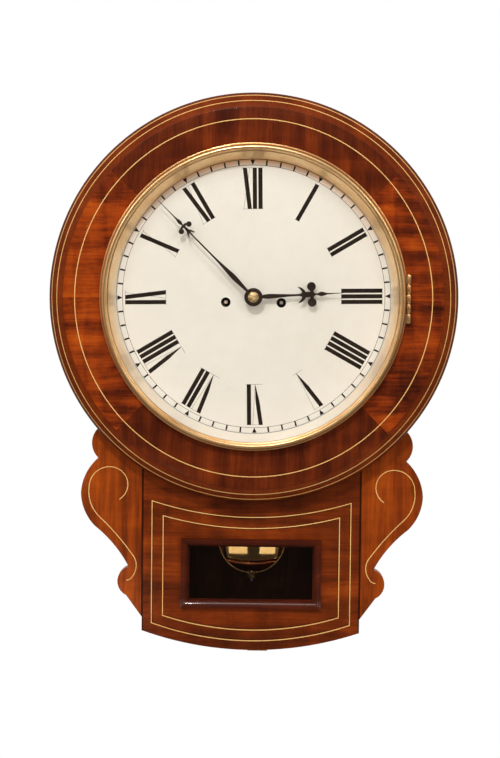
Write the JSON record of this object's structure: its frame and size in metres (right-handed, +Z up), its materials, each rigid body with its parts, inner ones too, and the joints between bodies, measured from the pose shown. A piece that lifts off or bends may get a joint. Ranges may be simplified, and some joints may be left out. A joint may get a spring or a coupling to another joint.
{
  "type": "drop dial wall clock",
  "caption": "Round-dial wall clock in inlaid mahogany with a short drop trunk, pendulum window, hinged brass bezel and a striking spring movement.",
  "frame": {"origin": "centre of the hole in the hanging plate, on the wall's plane", "axes": "+X to the clock's right as seen from the front, +Y into the wall, +Z up; the dial faces -Y"},
  "size_m": [0.445, 0.157, 0.618],
  "materials": {
    "mahogany": "french polished",
    "carcass_wood": "oiled",
    "boxwood": "polished",
    "brass": "lacquered",
    "steel": "polished",
    "blued_steel": "blued dark",
    "iron": "forged",
    "dial_paint": "satin cream",
    "glass": "clear",
    "gut": "twisted gut"
  },
  "bodies": {
    "case": {"dial_surround": "mahogany", "surround_cleats": "carcass_wood", "case_pegs": "carcass_wood", "box_boards": "carcass_wood", "backboard": "carcass_wood", "hanging_plate": "iron", "case_screws": "steel", "trunk_front": "mahogany", "ears": "mahogany", "boxwood_stringing": "boxwood", "window_moulding": "mahogany", "window_glass": "glass", "door_hinges": "brass", "surround_hinge_leaf": "brass", "dial_plate": "dial_paint", "dial_feet": "brass", "front_plate": "brass", "back_plate": "brass", "plate_pillars": "brass", "barrel_arbors": "steel", "back_cock": "brass", "fusee_lines": "gut", "bell": "brass"},
    "bezel": {"bezel_ring": "brass", "sight_ring": "brass", "bezel_glass": "glass", "bezel_hinge_leaf": "brass", "bezel_catch_stud": "brass"},
    "side_access_door": {"side_door": "mahogany"},
    "bottom_access_door": {"bottom_door": "mahogany"},
    "side_turn_button": {"side_button": "brass"},
    "bottom_turn_button": {"bottom_button": "brass"},
    "centre_arbor": {"centre_wheel": "brass", "cannon_wheel": "brass", "minute_hand": "blued_steel", "hand_collet": "brass"},
    "hour_pipe": {"hour_wheel": "brass", "hour_hand": "blued_steel"},
    "minute_arbor": {"minute_wheel": "brass"},
    "third_arbor": {"third_wheel": "brass"},
    "escape_arbor": {"escape_wheel": "brass"},
    "going_great": {"going_great_wheel": "brass"},
    "going_fusee_cone": {"going_fusee": "brass"},
    "going_drum": {"going_barrel": "brass"},
    "strike_great": {"strike_great_wheel": "brass"},
    "strike_fusee_cone": {"strike_fusee": "brass"},
    "strike_drum": {"strike_barrel": "brass"},
    "pin_arbor": {"pin_wheel": "brass"},
    "gathering_arbor": {"pallet_wheel": "brass"},
    "warning_arbor": {"warning_wheel": "brass"},
    "fly_arbor": {"fly": "brass"},
    "pallet_arbor": {"pallets": "steel"},
    "pendulum": {"pendulum_rod": "steel", "suspension_spring": "steel"},
    "bob": {"pendulum_bob": "brass"},
    "nut": {"rating_nut": "brass"},
    "rack_lever": {"rack": "steel"},
    "hook_lever": {"rack_hook": "steel"},
    "lifting_lever": {"lifting_piece": "steel"},
    "hammer_arbor": {"hammer": "steel"}
  },
  "joints": [
    {"name": "bezel_hinge", "type": "hinge", "parent": "case", "child": "bezel", "pos_m": [0.1675, -0.1466, -0.17], "axis": [0, 0, 1], "range_deg": [0, 110]},
    {"name": "side_door_hinge", "type": "hinge", "parent": "case", "child": "side_access_door", "pos_m": [0.1238, -0.021, -0.286], "axis": [0, 0, 1], "range_deg": [0, 100]},
    {"name": "bottom_door_hinge", "type": "hinge", "parent": "case", "child": "bottom_access_door", "pos_m": [0, -0.0123, -0.5625], "axis": [1, 0, 0], "range_deg": [0, 90]},
    {"name": "side_button_turn", "type": "hinge", "parent": "case", "child": "side_turn_button", "pos_m": [0.121, -0.089, -0.286], "axis": [1, 0, 0], "range_deg": [-90, 0]},
    {"name": "bottom_button_turn", "type": "hinge", "parent": "case", "child": "bottom_turn_button", "pos_m": [0, -0.0995, -0.5625], "axis": [0, 0, -1], "range_deg": [-90, 0]},
    {"name": "hands_spin", "type": "hinge", "parent": "case", "child": "centre_arbor", "pos_m": [0, -0.09, -0.17], "axis": [0, 1, 0], "continuous": true},
    {"name": "hour_spin", "type": "hinge", "parent": "case", "child": "hour_pipe", "pos_m": [0, -0.09, -0.17], "axis": [0, 1, 0], "continuous": true},
    {"name": "minute_wheel_spin", "type": "hinge", "parent": "case", "child": "minute_arbor", "pos_m": [0, -0.09, -0.1934], "axis": [0, 1, 0], "continuous": true},
    {"name": "third_spin", "type": "hinge", "parent": "case", "child": "third_arbor", "pos_m": [0.00569, -0.09, -0.14484], "axis": [0, 1, 0], "continuous": true},
    {"name": "escape_spin", "type": "hinge", "parent": "case", "child": "escape_arbor", "pos_m": [0, -0.09, -0.124], "axis": [0, 1, 0], "continuous": true},
    {"name": "going_great_spin", "type": "hinge", "parent": "case", "child": "going_great", "pos_m": [0.0302, -0.09, -0.1761], "axis": [0, 1, 0], "continuous": true},
    {"name": "going_fusee_wind", "type": "hinge", "parent": "going_great", "child": "going_fusee_cone", "pos_m": [0.0302, -0.09, -0.1761], "axis": [0, 1, 0], "range_deg": [-2880, 2880]},
    {"name": "going_barrel_turn", "type": "hinge", "parent": "case", "child": "going_drum", "pos_m": [0.046, -0.09, -0.228], "axis": [0, 1, 0], "range_deg": [-1600, 1600]},
    {"name": "pin_wheel_spin", "type": "hinge", "parent": "case", "child": "pin_arbor", "pos_m": [-0.04424, -0.09, -0.15274], "axis": [0, 1, 0], "continuous": true},
    {"name": "strike_great_spin", "type": "hinge", "parent": "case", "child": "strike_great", "pos_m": [-0.0302, -0.09, -0.1761], "axis": [0, 1, 0], "continuous": true},
    {"name": "strike_fusee_wind", "type": "hinge", "parent": "strike_great", "child": "strike_fusee_cone", "pos_m": [-0.0302, -0.09, -0.1761], "axis": [0, 1, 0], "range_deg": [-2880, 2880]},
    {"name": "strike_barrel_turn", "type": "hinge", "parent": "case", "child": "strike_drum", "pos_m": [-0.046, -0.09, -0.228], "axis": [0, 1, 0], "range_deg": [-1600, 1600]},
    {"name": "gathering_spin", "type": "hinge", "parent": "case", "child": "gathering_arbor", "pos_m": [-0.03125, -0.09, -0.14028], "axis": [0, 1, 0], "continuous": true},
    {"name": "warning_spin", "type": "hinge", "parent": "case", "child": "warning_arbor", "pos_m": [-0.03925, -0.09, -0.12858], "axis": [0, 1, 0], "continuous": true},
    {"name": "fly_spin", "type": "hinge", "parent": "case", "child": "fly_arbor", "pos_m": [-0.03075, -0.09, -0.12108], "axis": [0, 1, 0], "continuous": true},
    {"name": "pendulum_swing", "type": "hinge", "parent": "case", "child": "pendulum", "pos_m": [0, -0.0497, -0.10485], "axis": [0, 1, 0], "range_deg": [-3, 3]},
    {"name": "pallets_rock", "type": "hinge", "parent": "case", "child": "pallet_arbor", "pos_m": [0, -0.0497, -0.10485], "axis": [0, 1, 0], "range_deg": [-3, 3]},
    {"name": "rating_nut_turn", "type": "hinge", "parent": "bob", "child": "nut", "pos_m": [0, -0.0497, -0.488], "axis": [0, 0, 1], "range_deg": [-1801, 1801]},
    {"name": "bob_slide", "type": "slide", "parent": "pendulum", "child": "bob", "axis": [0, 0, 1], "range_m": [-0.0035, 0.0035]},
    {"name": "rack_fall", "type": "hinge", "parent": "case", "child": "rack_lever", "pos_m": [-0.052, -0.09, -0.172], "axis": [0, 1, 0], "range_deg": [0, 11.5]},
    {"name": "hook_lift", "type": "hinge", "parent": "case", "child": "hook_lever", "pos_m": [-0.058, -0.09, -0.128], "axis": [0, 1, 0], "range_deg": [-10, 0]},
    {"name": "lifting_rise", "type": "hinge", "parent": "case", "child": "lifting_lever", "pos_m": [-0.024, -0.09, -0.204], "axis": [0, 1, 0], "range_deg": [-6, 0]},
    {"name": "hammer_swing", "type": "hinge", "parent": "case", "child": "hammer_arbor", "pos_m": [-0.053, -0.09, -0.13], "axis": [0, 1, 0], "range_deg": [-12, 0]}
  ],
  "couplings": [
    {"joint": "hour_spin", "follows": "hands_spin", "ratio": 0.083333},
    {"joint": "minute_wheel_spin", "follows": "hands_spin", "ratio": -1},
    {"joint": "third_spin", "follows": "hands_spin", "ratio": -9.75},
    {"joint": "escape_spin", "follows": "hands_spin", "ratio": 78},
    {"joint": "going_great_spin", "follows": "hands_spin", "ratio": -0.083333},
    {"joint": "going_barrel_turn", "follows": "going_fusee_wind", "ratio": 0.55},
    {"joint": "strike_great_spin", "follows": "pin_wheel_spin", "ratio": -0.095238},
    {"joint": "strike_barrel_turn", "follows": "strike_fusee_wind", "ratio": 0.55},
    {"joint": "gathering_spin", "follows": "pin_wheel_spin", "ratio": -8},
    {"joint": "warning_spin", "follows": "pin_wheel_spin", "ratio": 64},
    {"joint": "fly_spin", "follows": "pin_wheel_spin", "ratio": -512},
    {"joint": "pallets_rock", "follows": "pendulum_swing", "ratio": 1},
    {"joint": "rating_nut_turn", "follows": "bob_slide", "rad_per_m": 8976}
  ]
}
